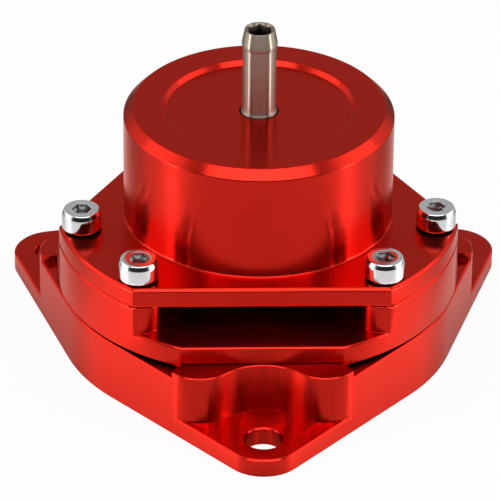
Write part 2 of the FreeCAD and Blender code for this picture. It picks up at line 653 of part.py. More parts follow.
def make_cap():
    """Cap: flange, round housing with a dished top, and the piston's bore with a spring boss."""
    body = new_body("top_cap")
    bevel = "(sizes.dish_radius - sizes.dish_bevel)"
    boss_end = f"({ROOF} - sizes.spring_boss_rise)"
    recess = f"({DISH_FLOOR} - sizes.nipple_recess_depth)"
    revolve(body, "housing", [
        ("sizes.bore_radius", JOINT), ("sizes.body_radius", JOINT), ("sizes.body_radius", FLANGE_TOP),
        ("sizes.cap_radius", FLANGE_TOP), ("sizes.cap_radius", f"{CAP_TOP} - sizes.cap_chamfer"),
        ("sizes.cap_radius - sizes.cap_chamfer", CAP_TOP), ("sizes.dish_radius", CAP_TOP),
        (bevel, DISH_FLOOR), ("sizes.nipple_recess_radius", DISH_FLOOR),
        ("sizes.nipple_recess_radius", recess), ("sizes.nipple_thread_radius", recess),
        ("sizes.nipple_thread_radius", boss_end), ("sizes.spring_boss_radius", boss_end),
        ("sizes.spring_boss_radius", ROOF), ("sizes.bore_radius", ROOF)])
    flat = new_sketch(body, "flange_flat", height=JOINT)
    flat_outline(flat, "sizes.window_flat")
    cut = pocket(body, flat, "flange_flat_cut", "sizes.flange_thickness", upward=True)
    pattern(body, cut, "flange_flats")
    holes = new_sketch(body, "screw_holes", height=JOINT)
    screw_hole_pair(holes, "(sizes.cap_screw_radius + sizes.cap_screw_clearance)")
    cut = pocket(body, holes, "screw_hole_cut", "sizes.flange_thickness", upward=True)
    pattern(body, cut, "screw_hole_set")

    def foot(edge):
        near = abs(radius_range(edge)[0] - size["cap_radius"]) < 1e-3
        return level(edge, FLANGE_LEVEL) and edge.Closed and near

    dress(body, "Fillet", "housing_foot", foot, "sizes.cap_fillet")

    def rim(edge):
        return not edge.Closed and radius_range(edge)[0] > size["window_flat"] - 1e-3

    def flange_top(edge):
        return level(edge, FLANGE_LEVEL) and rim(edge)

    dress(body, "Chamfer", "flange_edges", flange_top, "sizes.flange_chamfer")

    def flange_bottom(edge):
        return level(edge, JOINT_LEVEL) and rim(edge)

    dress(body, "Chamfer", "flange_under_edges", flange_bottom, "sizes.flange_relief")
    return body


def make_piston():
    """Piston: a cup with a nose in the inlet, grooves for its seals and a boss for the spring."""
    body = new_body("piston")
    outer = "(sizes.bore_radius - sizes.piston_clearance)"
    inner = "(sizes.bore_radius - sizes.piston_clearance - sizes.piston_wall)"
    nose_end = f"({WINDOW_FLOOR} - sizes.nose_height)"
    boss_top = f"({PISTON_FLOOR} + sizes.spring_boss_rise)"
    revolve(body, "cup", [
        ("0", nose_end), ("sizes.nose_radius - sizes.nose_slant", nose_end),
        ("sizes.nose_radius", WINDOW_FLOOR), (f"{outer} - sizes.piston_edge", WINDOW_FLOOR),
        (outer, f"{WINDOW_FLOOR} + sizes.piston_edge"), (outer, f"{PISTON_RIM} - sizes.piston_edge"),
        (f"{outer} - sizes.piston_edge", PISTON_RIM), (inner, PISTON_RIM), (inner, PISTON_FLOOR),
        ("sizes.spring_boss_radius", PISTON_FLOOR), ("sizes.spring_boss_radius", boss_top), ("0", boss_top)])
    half = "sizes.seal_groove_width / 2"
    deep = "(sizes.bore_radius - sizes.ring_clearance - 2 * sizes.seal_section - sizes.seal_gap)"
    middle = f"({PISTON_RIM} - sizes.piston_seal_drop)"
    groove(body, "seal_groove", [(deep, f"{middle} - {half}"), ("sizes.bore_radius", f"{middle} - {half}"),
                                 ("sizes.bore_radius", f"{middle} + {half}"), (deep, f"{middle} + {half}")])
    deep = "(sizes.bore_radius - sizes.ring_clearance - sizes.guide_thickness - sizes.seal_gap)"
    low = f"({PISTON_RIM} - sizes.guide_drop - sizes.guide_height - sizes.seal_gap)"
    high = f"({PISTON_RIM} - sizes.guide_drop + sizes.seal_gap)"
    groove(body, "guide_groove", [(deep, low), ("sizes.bore_radius", low),
                                  ("sizes.bore_radius", high), (deep, high)])
    face_groove(body, "seat_seal_groove", "sizes.seat_seal_circle", "sizes.seat_seal_groove", WINDOW_FLOOR,
                f"({WINDOW_FLOOR} + 2 * sizes.seat_seal_section + sizes.seat_seal_gap + sizes.seal_gap)")
    return body


def make_guide_band():
    """Guide band: a plain plastic ring in the piston's lower groove."""
    body = new_body("piston_guide_band")
    outer = "(sizes.bore_radius - sizes.ring_clearance)"
    inner = "(sizes.bore_radius - sizes.ring_clearance - sizes.guide_thickness)"
    low = f"({PISTON_RIM} - sizes.guide_drop - sizes.guide_height)"
    high = f"({PISTON_RIM} - sizes.guide_drop)"
    revolve(body, "band", [(inner, low), (outer, low), (outer, high), (inner, high)])


def make_ring(label, ring, section, height):
    """Rubber ring about the axis, with an eight sided section that fits its groove's walls."""
    body = new_body(label)
    half = 180 / RING_SIDES
    turns = [half + 360 * i / RING_SIDES for i in range(RING_SIDES)]
    revolve(body, "ring", [(f"{ring} + {section} / cos({half}) * cos({turn})",
                            f"{height} + {section} / cos({half}) * sin({turn})") for turn in turns])


def make_rings():
    """The rubber rings: two face seals, the piston's two seals and the nipple's seal."""
    section = "sizes.seal_section"
    gap = "sizes.seal_gap / 2"
    make_ring("base_seal", "sizes.seal_circle", section, f"{section} + {gap}")
    make_ring("body_seal", "sizes.seal_circle", section, f"{SEAT} - {section} - {gap}")
    make_ring("piston_seal", f"sizes.bore_radius - sizes.ring_clearance - {section}", section,
              f"{PISTON_RIM} - sizes.piston_seal_drop")
    make_ring("seat_seal", "sizes.seat_seal_circle", "sizes.seat_seal_section",
              f"{WINDOW_FLOOR} + sizes.seat_seal_section + sizes.seat_seal_gap")
    make_ring("nipple_seal", "(sizes.nipple_thread_radius + sizes.nipple_recess_radius) / 2",
              f"((sizes.nipple_recess_radius - sizes.nipple_thread_radius) / 2 - {gap})",
              f"{DISH_FLOOR} - sizes.nipple_recess_depth + sizes.nipple_seal_height / 2")


def make_cap_screw(label, angle):
    """Cap screw: round head with a hexagon socket on a plain shank, standing on the flange."""
    body = new_body(label)
    head = "sizes.cap_screw_head"
    rise = "sizes.cap_screw_rise"
    edge = "sizes.cap_screw_edge"
    shank = "sizes.cap_screw_radius"
    length = "sizes.cap_screw_length"
    revolve(body, "blank", [
        ("0", f"-{length}"), (f"{shank} - {edge}", f"-{length}"), (shank, f"-{length} + {edge}"),
        (shank, "0"), (f"{head} - {edge} / 2", "0"), (head, f"{edge} / 2"), (head, f"{rise} - {edge}"),
        (f"{head} - {edge} / 3", f"{rise} - {edge} / 3"), (f"{head} - {edge}", rise), ("0", rise)])
    socket = new_sketch(body, "socket", height=rise)
    hexagon(socket, "sizes.cap_screw_socket")
    pocket(body, socket, "socket_cut", "sizes.cap_screw_socket_depth")
    corner = "sizes.cap_screw_socket / sqrt(3)"
    flat = "sizes.cap_screw_socket / 2"
    groove(body, "socket_lead", [("0", rise), (f"{corner} + {edge} / 2", rise), (flat, f"{rise} - {edge}"),
                                 ("0", f"{rise} - {edge}")])
    body.setExpression("Placement.Base.x", f"sizes.cap_screw_circle * cos({angle})")
    body.setExpression("Placement.Base.y", f"sizes.cap_screw_circle * sin({angle})")
    body.setExpression("Placement.Base.z", FLANGE_TOP)


def make_body_screw(label, angle):
    """Countersunk screw that holds the body to the base from below."""
    body = new_body(label)
    head = "sizes.body_screw_head"
    shank = "sizes.body_screw_radius"
    length = "sizes.body_screw_length"
    edge = "sizes.body_screw_edge"
    revolve(body, "blank", [("0", "0"), (head, "0"), (shank, f"{head} - {shank}"),
                            (shank, f"{length} - {edge}"), (f"{shank} - {edge}", length), ("0", length)])
    socket = new_sketch(body, "socket")
    hexagon(socket, "sizes.body_screw_socket")
    pocket(body, socket, "socket_cut", "sizes.body_screw_socket_depth", upward=True)
    body.setExpression("Placement.Base.x", f"sizes.body_screw_circle * cos({angle})")
    body.setExpression("Placement.Base.y", f"sizes.body_screw_circle * sin({angle})")
    body.setExpression("Placement.Base.z", "sizes.body_screw_sink")


def make_nipple():
    """Vacuum nipple: threaded end, foot, plain shank, barb and a hexagon mouth on a small bore."""
    body = new_body("vacuum_nipple")
    foot_low = f"({DISH_FLOOR} - sizes.nipple_recess_depth + sizes.nipple_seal_height)"
    foot_high = f"({DISH_FLOOR} + sizes.nipple_foot_height)"
    top = f"({DISH_FLOOR} + sizes.nipple_height)"
    barb = f"({top} - sizes.nipple_barb_height)"
    thread_end = f"({ROOF} - sizes.spring_boss_rise)"
    shank = "sizes.nipple_shank_radius"
    revolve(body, "blank", [
        ("sizes.nipple_bore_radius", thread_end), ("sizes.nipple_thread_radius - sizes.seal_gap", thread_end),
        ("sizes.nipple_thread_radius - sizes.seal_gap", foot_low), ("sizes.nipple_foot_radius", foot_low),
        ("sizes.nipple_foot_radius", foot_high), (shank, foot_high),
        (shank, f"{barb} - sizes.nipple_barb_back"), ("sizes.nipple_barb_radius", barb),
        ("sizes.nipple_mouth_radius", top), ("sizes.nipple_bore_radius", top)])
    socket = new_sketch(body, "mouth", height=top)
    hexagon(socket, "sizes.nipple_socket")
    pocket(body, socket, "mouth_cut", "sizes.nipple_socket_depth")


def make_spring():
    """Return spring: a coil of short straight runs between the piston's floor and the cap's roof."""
    radius = "sizes.spring_wire / 2"
    low = f"({PISTON_FLOOR} + sizes.spring_gap + {radius})"
    high = f"({ROOF} - sizes.spring_gap - {radius})"
    steps = SPRING_TURNS * STEPS_PER_TURN
    sections = []
    for step in range(steps + 1):
        turn = 360 * step / STEPS_PER_TURN
        section = doc.addObject("Part::RegularPolygon", f"wire_{step}")
        section.Polygon = RING_SIDES
        section.setExpression("Circumradius", radius)
        upright_turn = FreeCAD.Rotation(FreeCAD.Vector(1, 0, 0), 90)
        about_axis = FreeCAD.Rotation(FreeCAD.Vector(0, 0, 1), turn)
        section.Placement = FreeCAD.Placement(FreeCAD.Vector(), about_axis * upright_turn)
        section.setExpression("Placement.Base.x", f"sizes.spring_radius * cos({turn})")
        section.setExpression("Placement.Base.y", f"sizes.spring_radius * sin({turn})")
        section.setExpression("Placement.Base.z", f"{low} + ({high} - {low}) * {step} / {steps}")
        sections.append(section)
    coil = doc.addObject("Part::Loft", "return_spring")
    coil.Label = "return_spring"
    coil.Sections = sections
    coil.Solid = True
    coil.Ruled = True
    parts.append(coil)


def check_and_write():
    """Check every object, then write one file for each piece."""
    doc.recompute()
    for item in doc.Objects:
        if "Invalid" in item.State or "Error" in item.State:
            raise ValueError(f"{item.Name} failed: {item.State}")
    for item in parts:
        shape = item.Shape
        if shape.isNull() or not shape.isValid() or len(shape.Solids) != 1:
            raise ValueError(f"{item.Label} is no valid single solid")
    os.makedirs("parts", exist_ok=True)
    for item in parts:
        item.Shape.exportStep(f"parts/{item.Label}.step")


make_base()
make_body()
make_cap()
make_piston()
make_guide_band()
make_rings()
make_nipple()
make_spring()
for ear in range(EARS):
    post = 90 + 120 * ear
    make_body_screw(f"body_screw_{ear + 1}", str(post))
    for place, sign in ((1, "-"), (2, "+")):
        number = SCREWS_PER_POST * ear + place
        make_cap_screw(f"cap_screw_{number}", f"{post} {sign} sizes.cap_screw_spread")
check_and_write()
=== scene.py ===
"""Looks of a blow off valve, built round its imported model.

Lengths in the fields are in millimetres where nothing else is said, and the meshes are in metres. The axis of
the valve is Z and one ear of the base points to -Y.
"""

import logging
import math
from dataclasses import dataclass, field
from enum import Enum
from typing import Any, NamedTuple, Optional

import bmesh
import bpy
import numpy as np
from mathutils import Matrix, Vector

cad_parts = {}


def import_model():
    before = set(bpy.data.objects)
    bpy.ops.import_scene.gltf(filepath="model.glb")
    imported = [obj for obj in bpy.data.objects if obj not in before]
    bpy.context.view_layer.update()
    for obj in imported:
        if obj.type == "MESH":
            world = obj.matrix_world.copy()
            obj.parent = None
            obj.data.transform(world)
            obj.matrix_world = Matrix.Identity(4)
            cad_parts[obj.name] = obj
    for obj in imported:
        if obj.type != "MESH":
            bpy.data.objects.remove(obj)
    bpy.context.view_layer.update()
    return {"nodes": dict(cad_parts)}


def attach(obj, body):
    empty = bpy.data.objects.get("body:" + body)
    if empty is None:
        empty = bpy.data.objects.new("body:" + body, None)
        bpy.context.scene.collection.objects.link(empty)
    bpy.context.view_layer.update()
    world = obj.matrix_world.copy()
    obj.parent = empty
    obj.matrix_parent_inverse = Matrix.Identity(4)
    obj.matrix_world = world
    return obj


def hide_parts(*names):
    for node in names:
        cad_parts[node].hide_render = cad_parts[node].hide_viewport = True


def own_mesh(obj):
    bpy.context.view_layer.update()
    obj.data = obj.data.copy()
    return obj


LOG = logging.getLogger("blow_off_valve")
MM = 0.001

Tree = bpy.types.NodeTree
Socket = bpy.types.NodeSocket
Piece = bpy.types.Object

# Degrees between two faces past which the edge between them is sharp
EDGE_ANGLE = 33.0
# Degrees between two triangles up to which they are one flat face
FLAT_ANGLE = 0.5
# Most of a side that the rounding at one of its ends takes
SIDE_SHARE = 0.45

# Heights and a radius that several sub-assemblies share: the top of the cap's flange, the floor of its dish,
# its roof inside, and the end and radius of the boss inside it, which is as wide as the piston's
FLANGE_TOP = 24.3
DISH_FLOOR = 44.1
ROOF = 41.0
BOSS_LOW = 39.2
SPRING_BOSS = 9.9


# Colours, nodes and meshes

def linear(code: str) -> tuple[float, float, float, float]:
    """Turn an sRGB hex colour into a linear one, by the sRGB curve.

    Args:
        code: Six hex digits after a hash sign.

    Returns:
        Red, green, blue and alpha, from 0 to 1.
    """
    parts = [int(code[i:i + 2], 16) / 255 for i in (1, 3, 5)]
    red, green, blue = (c / 12.92 if c <= 0.04045 else ((c + 0.055) / 1.055) ** 2.4 for c in parts)
    return red, green, blue, 1.0


def add_node(tree: Tree, kind: str, inputs: Optional[dict] = None, **settings: Any) -> bpy.types.Node:
    """Add a node, set its options, and give its sockets their values or links.

    Args:
        tree: The node tree that gets the node.
        kind: The node's type.
        inputs: Values, or output sockets to link, for each input by name or number.
        **settings: Options of the node itself.

    Returns:
        The new node.
    """
    node = tree.nodes.new(kind)
    for name, value in settings.items():
        setattr(node, name, value)
    for key, value in (inputs or {}).items():
        if isinstance(value, Socket):
            tree.links.new(value, node.inputs[key])
        else:
            node.inputs[key].default_value = value
    return node


class Ramp(NamedTuple):
    """A step from one value to another: where it starts and ends, and the values before and after it."""

    low: float
    high: float
    first: float
    last: float

    def sockets(self, value: Socket) -> dict[str, Any]:
        """Return the inputs with which a Map Range node puts a value on this ramp."""
        return {"Value": value, "From Min": self.low, "From Max": self.high, "To Min": self.first,
                "To Max": self.last}


def rounded(corners: list[tuple[float, float, float]], closed: bool, steps: int = 5) -> np.ndarray:
    """Round the corners of a profile.

    Each corner is replaced by a quadratic curve: from a point on the side before it, bent towards the corner,
    to a point on the side after it. Both points lie as far from the corner as its rounding reaches, or less
    where the side is short. The ends of an open profile stay sharp.

    Args:
        corners: Radius and height of each corner, and how far its rounding reaches, in millimetres.
        closed: Whether the last corner joins the first.
        steps: Points on each rounding.

    Returns:
        An array of radius and height rows in millimetres.
    """
    data = np.array(corners, float)
    points, reach = data[:, :2], data[:, 2]
    before, after = np.roll(points, 1, 0) - points, np.roll(points, -1, 0) - points
    long_before, long_after = np.linalg.norm(before, axis=1), np.linalg.norm(after, axis=1)
    first = before * (np.minimum(reach, SIDE_SHARE * long_before) / long_before)[:, None]
    last = after * (np.minimum(reach, SIDE_SHARE * long_after) / long_after)[:, None]
    share = np.linspace(0, 1, steps)[None, :, None]
    curve = points[:, None] + first[:, None] * (1 - share) ** 2 + last[:, None] * share ** 2
    rows = []
    for index, size in enumerate(reach):
        end = not closed and index in (0, len(reach) - 1)
        rows.append(points[index][None] if end or size == 0 else curve[index])
    return np.concatenate(rows)


def turns_of(count: int) -> np.ndarray:
    """Return evenly spaced angles round the axis, in radians."""
    return np.arange(count) * 2 * np.pi / count


def hexagon_radius(angles: np.ndarray, flats: float) -> np.ndarray:
    """Return half the width across flats over the cosine of each angle from the middle of its flat."""
    return flats / 2 / np.cos((angles + np.pi / 6) % (np.pi / 3) - np.pi / 6)


def lathe(profile: np.ndarray, count: int) -> np.ndarray:
    """Turn radius and height rows about the axis, into a grid of points with this many round it."""
    return ring_rows(np.repeat(profile[:, :1], count, 1), np.repeat(profile[:, 1:], count, 1))


def ring_rows(radius: np.ndarray, height: np.ndarray) -> np.ndarray:
    """Turn rows of radius and height into points: radius times the angle's cosine and sine, at the height."""
    angles = turns_of(radius.shape[1])[None]
    return np.stack([radius * np.cos(angles), radius * np.sin(angles), height], -1)


def build_mesh(name: str, grid: np.ndarray, closed: bool) -> Piece:
    """Make an object from a grid that is closed round the axis.

    Args:
        name: The piece's name.
        grid: Points, row by angle by three, in millimetres. Rows run up the outside, so faces point outwards.
        closed: Whether the last row joins the first. If not, each end is closed with one flat face.

    Returns:
        The new object, linked to the scene.
    """
    rows, count = grid.shape[:2]
    number = np.arange(rows * count).reshape(rows, count)
    low = number if closed else number[:-1]
    high = np.roll(number, -1, 0) if closed else number[1:]
    quads = np.stack([low, np.roll(low, -1, 1), np.roll(high, -1, 1), high], -1).reshape(-1, 4).tolist()
    ends = [] if closed else [number[0, ::-1].tolist(), number[-1].tolist()]
    mesh = bpy.data.meshes.new(name)
    mesh.from_pydata((grid.reshape(-1, 3) * MM).tolist(), [], quads + ends)
    return finish_mesh(name, mesh)


def finish_mesh(name: str, mesh: bpy.types.Mesh) -> Piece:
    """Shade a mesh smooth but for its sharp edges, and make an object of it.

    Args:
        name: The piece's name.
        mesh: Its mesh.

    Returns:
        The new object, linked to the scene.
    """
    mesh.validate()
    mesh.shade_smooth()
    mesh.set_sharp_from_angle(angle=math.radians(EDGE_ANGLE))
    piece = bpy.data.objects.new(name, mesh)
    bpy.context.scene.collection.objects.link(piece)
    return piece


def break_edges(piece: Piece, width: float) -> None:
    """Round every sharp edge of a piece.

    Args:
        piece: The piece.
        width: How far the rounding reaches from the edge, in millimetres.
    """
    bevel = piece.modifiers.new("broken_edges", "BEVEL")
    bevel.width = width * MM
    bevel.segments = 3
    bevel.limit_method = "ANGLE"
    bevel.angle_limit = math.radians(EDGE_ANGLE)
    bevel.harden_normals = True


# Finishes

# Size of the grit in a finish, in millimetres. The real grit is too fine to show, so it is drawn this coarse
GRIT = 0.11
# Width of the clouds of colour, in pitches of the marks
CLOUD_WIDTH = 30
# How fast the marks change along their direction, as a share of how fast they change across it
ALONG_SHARE = 0.02
# The values between which most of a noise lies
NOISE_SPAN = (0.4, 0.6)
# Height of a face's normal above which the face is lying rather than standing
LYING = 0.8


class Grain(Enum):
    """Direction of the fine marks that a tool or a mould leaves."""

    TURNED = "circles about the axis on flat faces, level lines on walls"
    CAST = "no direction, as on moulded goods"


@dataclass(frozen=True)
class Finish:
    """A surface: its colour, how it reflects, and the marks of how it was made.

    Attributes:
        name: What the surface is.
        colour: Its colour.
        shade: The colour that clouds and marks shift it to.
        metallic: 1 on bare metal and 0 on what isn't metal.
        roughness: The least and the most over the marks.
        grain: The direction of the marks.
        pitch: Distance between marks in millimetres. Real marks are a tenth of a millimetre apart or less,
            too fine to show, so they are drawn as coarse as they need to show.
        relief: Height of the marks in millimetres.
        edge_tint: Tint of the reflection on a surface seen nearly edge on.
        speck: Least share of the shade.
        lines: Share of lines in the marks. The rest is grit.
        painted_shade_reach: Reach of the painted shade that darkens the colour where pieces meet and in
            hollows, where little light gets in, in millimetres, or 0 for none.
        painted_shade_colour: Colour of that painted shade.
        painted_shade_range: How open to its surroundings a point is where the painted shade is darkest, and
            where it ends.
        stretch: How far turned marks draw out a reflection, from 0 to 1.
    """

    name: str
    colour: str
    shade: str
    metallic: float
    roughness: tuple[float, float]
    grain: Grain
    pitch: float
    relief: float
    edge_tint: str = "#FFFFFF"
    speck: float = 0.3
    lines: float = 1.0
    painted_shade_reach: float = 0.0
    painted_shade_colour: str = "#120302"
    painted_shade_range: tuple[float, float] = (0.3, 0.47)
    stretch: float = 0.0

    def build(self) -> bpy.types.Material:
        """Make the material from nodes.

        The marks are noise that changes fast across their direction and slowly along it, mixed with grit.
        They vary the roughness and lift the surface. With a wider noise, they also shift the colour.

        Returns:
            The new material.
        """
        material = bpy.data.materials.new(self.name)
        material.use_nodes = True
        tree = material.node_tree
        tree.nodes.clear()
        place = add_node(tree, "ShaderNodeTexCoord").outputs["Object"]
        lines = add_node(tree, "ShaderNodeTexNoise", {
            "Vector": self.marks_vector(tree, place), "Scale": 1.0, "Detail": 3.0, "Roughness": 0.55})
        grit = add_node(tree, "ShaderNodeTexNoise", {
            "Vector": place, "Scale": 1 / (GRIT * MM), "Detail": 2.0})
        marks = add_node(tree, "ShaderNodeMix", {
            "Factor": self.lines, "A": grit.outputs["Fac"], "B": lines.outputs["Fac"]},
            data_type="FLOAT").outputs["Result"]
        cloud = add_node(tree, "ShaderNodeTexNoise", {
            "Vector": place, "Scale": 1 / (self.pitch * CLOUD_WIDTH * MM), "Detail": 3.0})
        shift = add_node(tree, "ShaderNodeMath", {0: marks, 1: cloud.outputs["Fac"], 2: self.speck},
                         operation="MULTIPLY_ADD")
        tint = add_node(tree, "ShaderNodeMix", {
            "Factor": shift.outputs[0], "A": linear(self.colour), "B": linear(self.shade)},
            data_type="RGBA").outputs["Result"]
        rough = add_node(tree, "ShaderNodeMapRange", Ramp(*NOISE_SPAN, *self.roughness).sockets(marks))
        bump = add_node(tree, "ShaderNodeBump", {
            "Height": marks, "Strength": 1.0, "Distance": self.relief * MM})
        # Painted shade: where a finish has a reach for it, its colour is darkened where a point is hardly
        # open to its surroundings
        surface = {
            "Base Color": self.paint_shade_in_hollows(tree, tint) if self.painted_shade_reach else tint,
            "Metallic": self.metallic, "Roughness": rough.outputs["Result"], "Normal": bump.outputs["Normal"],
            "Specular Tint": linear(self.edge_tint), "Anisotropic": self.stretch}
        if self.stretch:
            surface["Tangent"] = self.stretch_vector(tree, place)
        shader = add_node(tree, "ShaderNodeBsdfPrincipled", surface)
        add_node(tree, "ShaderNodeOutputMaterial", {"Surface": shader.outputs["BSDF"]})
        return material

    def paint_shade_in_hollows(self, tree: Tree, tint: Socket) -> Socket:
        """Paint shade into a colour where a point is hardly open to its surroundings: where pieces meet, and
        in hollows and sockets.

        Args:
            tree: The material's node tree.
            tint: The colour.

        Returns:
            The colour with its painted shade.
        """
        opening = add_node(tree, "ShaderNodeAmbientOcclusion", {
            "Distance": self.painted_shade_reach * MM}).outputs["AO"]
        light = add_node(tree, "ShaderNodeMapRange", Ramp(*self.painted_shade_range, 0.0, 1.0).sockets(opening))
        return add_node(tree, "ShaderNodeMix", {
            "Factor": light.outputs["Result"], "A": linear(self.painted_shade_colour), "B": tint},
            data_type="RGBA").outputs["Result"]

    def stretch_vector(self, tree: Tree, place: Socket) -> Socket:
        """Return the way in which turned marks draw out a reflection: along the axis on walls, outwards on
        lying faces.

        Args:
            tree: The material's node tree.
            place: The object coordinates.

        Returns:
            A vector across the marks.
        """
        outwards = add_node(tree, "ShaderNodeVectorMath", {0: place, 1: (1 / MM, 1 / MM, 0.0)},
                            operation="MULTIPLY").outputs[0]
        upright = add_node(tree, "ShaderNodeCombineXYZ", {"Z": 1.0}).outputs["Vector"]
        # Inputs 4 and 5 and output 1 of a mix node are its vectors
        return add_node(tree, "ShaderNodeMix", {"Factor": self.lying(tree), 4: upright, 5: outwards},
                        data_type="VECTOR").outputs[1]

    def lying(self, tree: Tree) -> Socket:
        """Tell lying faces from walls by the height of their normal.

        Args:
            tree: The material's node tree.

        Returns:
            1 on lying faces and 0 on walls.
        """
        normal = add_node(tree, "ShaderNodeNewGeometry").outputs["True Normal"]
        up = add_node(tree, "ShaderNodeSeparateXYZ", {0: normal}).outputs["Z"]
        height = add_node(tree, "ShaderNodeMath", {0: up}, operation="ABSOLUTE").outputs[0]
        return add_node(tree, "ShaderNodeMath", {0: height, 1: LYING}, operation="GREATER_THAN").outputs[0]

    def marks_vector(self, tree: Tree, place: Socket) -> Socket:
        """Return the coordinates in which the marks run.

        Args:
            tree: The material's node tree.
            place: The object coordinates.

        Returns:
            A vector that changes by one over a pitch across the marks, and slowly along them.
        """
        fine = 1 / (self.pitch * MM)
        slow = ALONG_SHARE * fine
        if self.grain is Grain.CAST:
            return add_node(tree, "ShaderNodeVectorMath", {0: place, 1: (fine,) * 3},
                            operation="MULTIPLY").outputs[0]
        axes = add_node(tree, "ShaderNodeSeparateXYZ", {0: place}).outputs
        level = add_node(tree, "ShaderNodeVectorMath", {0: place, 1: (1.0, 1.0, 0.0)}, operation="MULTIPLY")
        radius = add_node(tree, "ShaderNodeVectorMath", {0: level.outputs[0]}, operation="LENGTH")
        across = add_node(tree, "ShaderNodeMix", {
            "Factor": self.lying(tree), "A": axes["Z"], "B": radius.outputs["Value"]}, data_type="FLOAT")
        joined = add_node(tree, "ShaderNodeCombineXYZ", {
            "X": across.outputs["Result"], "Y": axes["X"], "Z": axes["Y"]})
        return add_node(tree, "ShaderNodeVectorMath", {0: joined.outputs[0], 1: (fine, slow, slow)},
                        operation="MULTIPLY").outputs[0]


# Aluminium, milled and turned, then dyed red in its oxide: a clear red metal, in which the marks draw out
# each light into a band, with painted shade that makes it nearly black where two pieces meet
RED = Finish("red_anodised_aluminium", "#D0281D", "#C42016", metallic=1.0, roughness=(0.2, 0.26),
             grain=Grain.TURNED, pitch=0.3, relief=0.0013, edge_tint="#FFDFD8", speck=0.0, lines=0.35,
             painted_shade_reach=1.2, painted_shade_range=(0.34, 0.48), stretch=0.8)
# Aluminium with a thick black oxide: dark, nearly dull
BLACK = Finish("black_hard_anodised_aluminium", "#1B1B1E", "#101012", metallic=0.6, roughness=(0.38, 0.5),
               grain=Grain.TURNED, pitch=0.3, relief=0.003)
# Steel with a bright nickel plating: a clean mirror, a little soft, with painted shade that darkens it inside
# its socket
BRIGHT = Finish("nickel_plated_steel", "#F0F0F1", "#E2E3E5", metallic=1.0, roughness=(0.08, 0.16),
                grain=Grain.TURNED, pitch=0.2, relief=0.0004, painted_shade_reach=1.6, painted_shade_colour="#3C3C34",
                painted_shade_range=(0.4, 0.85))
# Black oxide steel: a dark grey satin
DARK = Finish("black_oxide_steel", "#3A3B3D", "#27282A", metallic=1.0, roughness=(0.3, 0.42),
              grain=Grain.TURNED, pitch=0.2, relief=0.002)
# Brass under a thin nickel plating, turned: a warm silver whose lights are drawn out along the axis, with
# painted shade that makes it nearly black inside its mouth
NICKEL = Finish("nickel_plated_brass", "#A99D8F", "#9C9082", metallic=1.0, roughness=(0.33, 0.39),
                grain=Grain.TURNED, pitch=0.12, relief=0.001, painted_shade_reach=6.0, painted_shade_colour="#100E0D",
                painted_shade_range=(0.25, 0.5), stretch=1.0)
# Drawn and oiled spring wire: a grey satin with faint clouds
WIRE = Finish("spring_steel", "#8D9094", "#6C6F73", metallic=1.0, roughness=(0.25, 0.38),
              grain=Grain.CAST, pitch=0.5, relief=0.002)
# Nitrile rubber, moulded: black and dull with a fine bloom
RUBBER = Finish("nitrile_rubber", "#151516", "#202022", metallic=0.0, roughness=(0.5, 0.68),
                grain=Grain.CAST, pitch=0.25, relief=0.006)
# Filled bearing plastic, turned: a brown grey, waxy
PLASTIC = Finish("bearing_plastic", "#5B5148", "#4A4139", metallic=0.0, roughness=(0.4, 0.5),
                 grain=Grain.TURNED, pitch=0.25, relief=0.004)


@dataclass
class Maker:
    """Makes each finish once, and puts pieces on the body that carries them."""

    made: dict[str, bpy.types.Material] = field(default_factory=dict)

    def dress(self, piece: Piece, finish: Finish, node: str, body: str, slot: str) -> None:
        """Give a piece its finish, hide the CAD node that it stands for, and put it on the body that it rides
        on.

        Args:
            piece: The new piece.
            finish: Its surface.
            node: The CAD node that it stands for.
            body: The CAD body that it rides on.
            slot: The record's material slot. Not used.
        """
        if finish.name not in self.made:
            self.made[finish.name] = finish.build()
        piece.data.materials.clear()
        piece.data.materials.append(self.made[finish.name])
        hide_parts(node)
        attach(piece, body)
        LOG.info("%s: %d faces", piece.name, len(piece.data.polygons))


# Sub-assemblies

